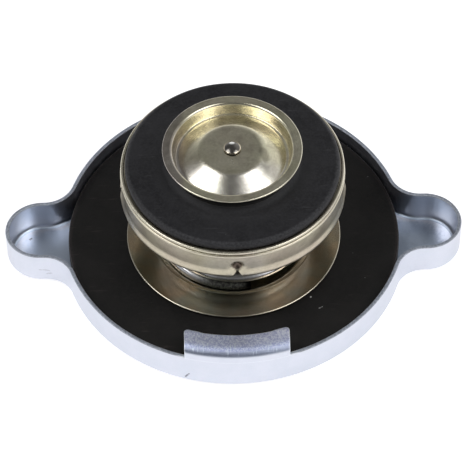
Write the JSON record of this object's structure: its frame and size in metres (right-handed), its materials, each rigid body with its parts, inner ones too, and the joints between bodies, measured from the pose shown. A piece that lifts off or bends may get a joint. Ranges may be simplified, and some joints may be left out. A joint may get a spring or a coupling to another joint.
{
  "type": "radiator cap",
  "caption": "Pressed-steel radiator cap with two ears and folded cam tabs, rubber gasket, coil spring and a pressure valve with a dished vacuum valve in it.",
  "frame": {"origin": "centre of the cap's top face, on which it lies upside down", "axes": "+Z along the cap's axis towards its valves, +X through the ears, cam tabs on the Y axis"},
  "size_m": [0.0946, 0.071, 0.0327],
  "materials": {
    "zinc_plated_steel": "satin zinc plating, slightly blue",
    "yellow_passivated_steel": "satin plating with a pale yellow passivate",
    "spring_steel": "dark polished wire",
    "bare_steel": "plain cold-headed steel",
    "black_rubber": "matt moulded rubber",
    "brass_pin": "turned brass"
  },
  "bodies": {
    "cap_shell": {"shell": "zinc_plated_steel", "centre_rivet": "bare_steel"},
    "gasket_stack": {"diaphragm_spring": "spring_steel", "upper_gasket": "black_rubber", "gasket_retainer": "yellow_passivated_steel", "valve_guide": "yellow_passivated_steel", "rivet_washer": "bare_steel", "pressure_spring": "spring_steel"},
    "pressure_valve": {"retaining_cup": "yellow_passivated_steel", "seal_carrier": "yellow_passivated_steel", "pressure_seal": "black_rubber"},
    "vacuum_valve": {"vacuum_plate": "yellow_passivated_steel", "vacuum_stem": "brass_pin", "vacuum_spring_washer": "yellow_passivated_steel", "vacuum_spring": "spring_steel"}
  },
  "joints": [
    {"name": "stack_swivel", "type": "hinge", "parent": "cap_shell", "child": "gasket_stack", "pos_m": [0, 0, 0.0035], "axis": [0, 0, 1], "continuous": true},
    {"name": "pressure_valve_slide", "type": "slide", "parent": "gasket_stack", "child": "pressure_valve", "axis": [0, 0, -1], "range_m": [0, 0.0032], "stiffness_N_per_m": 4000, "springref_m": -0.01, "deforming": ["pressure_spring"]},
    {"name": "vacuum_valve_slide", "type": "slide", "parent": "pressure_valve", "child": "vacuum_valve", "axis": [0, 0, 1], "range_m": [0, 0.0024], "stiffness_N_per_m": 120, "springref_m": -0.006, "deforming": ["vacuum_spring"]}
  ]
}
